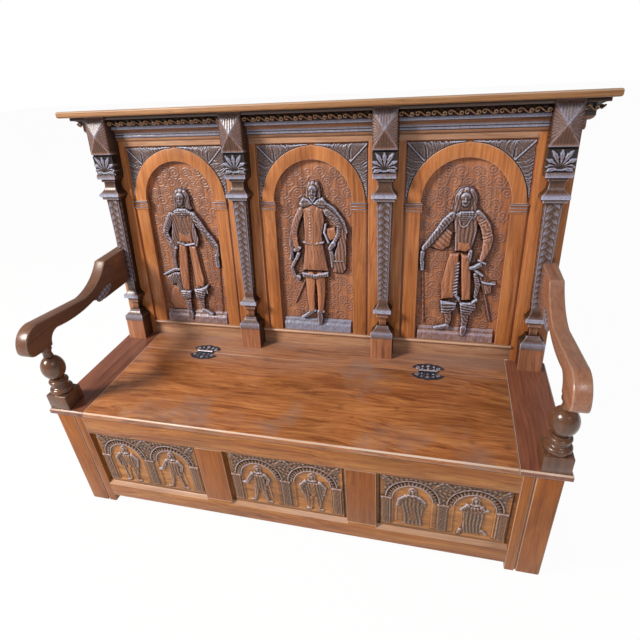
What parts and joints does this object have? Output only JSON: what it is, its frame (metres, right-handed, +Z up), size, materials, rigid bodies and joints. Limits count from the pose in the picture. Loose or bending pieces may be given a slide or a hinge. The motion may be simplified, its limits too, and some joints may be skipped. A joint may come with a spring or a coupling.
{
  "type": "settle bench",
  "caption": "Carved oak settle bench with a leaning arcaded panel back, pilasters, scroll arms on turned supports and a box seat with a hinged lid.",
  "frame": {"origin": "middle of the underside of the bench, on the floor", "axes": "+X across the bench to the sitter's left as seen from the front, +Y towards the back, +Z up"},
  "size_m": [1.704, 0.6804, 1.2849],
  "materials": {
    "oak_frame": "waxed oak, warm red brown",
    "oak_plain_panel": "waxed oak",
    "oak_seat": "waxed oak, worn and darker red brown",
    "oak_arm": "waxed oak, polished by hands",
    "oak_carved": "dark waxed carved oak",
    "oak_carved_panel": "waxed carved oak with a dark patina",
    "hinge_iron": "dark iron, worn",
    "glide_iron": "dull dark iron"
  },
  "bodies": {
    "settle": {"front_post_left": "oak_frame", "rear_post_left": "oak_frame", "front_muntin_left": "oak_frame", "end_top_rail_left": "oak_frame", "end_bottom_rail_left": "oak_frame", "back_stile_left": "oak_frame", "end_panel_left": "oak_plain_panel", "seat_side_board_left": "oak_seat", "arm_left": "oak_arm", "arm_support_left": "oak_arm", "cornice_return_left": "oak_carved", "hinge_fixed_leaf_left": "hinge_iron", "front_post_right": "oak_frame", "rear_post_right": "oak_frame", "front_muntin_right": "oak_frame", "end_top_rail_right": "oak_frame", "end_bottom_rail_right": "oak_frame", "back_stile_right": "oak_frame", "end_panel_right": "oak_plain_panel", "seat_side_board_right": "oak_seat", "arm_right": "oak_arm", "arm_support_right": "oak_arm", "cornice_return_right": "oak_carved", "hinge_fixed_leaf_right": "hinge_iron", "front_top_rail": "oak_frame", "front_bottom_rail": "oak_frame", "back_bottom_rail": "oak_frame", "back_frieze_rail": "oak_frame", "chest_back_board": "oak_plain_panel", "chest_floor_board": "oak_plain_panel", "seat_back_strip": "oak_seat", "hinge_pins": "hinge_iron", "hinge_screws_fixed": "hinge_iron", "floor_glides": "glide_iron", "front_panel_left": "oak_carved_panel", "figure_panel_left": "oak_carved_panel", "arch_frame_left": "oak_frame", "cornice_moulding_left": "oak_carved", "front_panel_middle": "oak_carved_panel", "figure_panel_middle": "oak_carved_panel", "arch_frame_middle": "oak_frame", "cornice_moulding_middle": "oak_carved", "front_panel_right": "oak_carved_panel", "figure_panel_right": "oak_carved_panel", "arch_frame_right": "oak_frame", "cornice_moulding_right": "oak_carved", "pilaster_outer_left": "oak_carved", "top_block_outer_left": "oak_carved", "pilaster_inner_left": "oak_carved", "top_block_inner_left": "oak_carved", "pilaster_inner_right": "oak_carved", "top_block_inner_right": "oak_carved", "pilaster_outer_right": "oak_carved", "top_block_outer_right": "oak_carved", "cornice_shelf": "oak_frame"},
    "lid": {"seat_lid": "oak_seat", "hinge_lid_leaf_left": "hinge_iron", "hinge_lid_leaf_right": "hinge_iron", "hinge_screws_lid": "hinge_iron"}
  },
  "joints": [
    {"name": "lid_hinge", "type": "hinge", "parent": "settle", "child": "lid", "pos_m": [0, 0.08678, 0.445], "axis": [-1, 0, 0], "range_deg": [0, 108]}
  ]
}
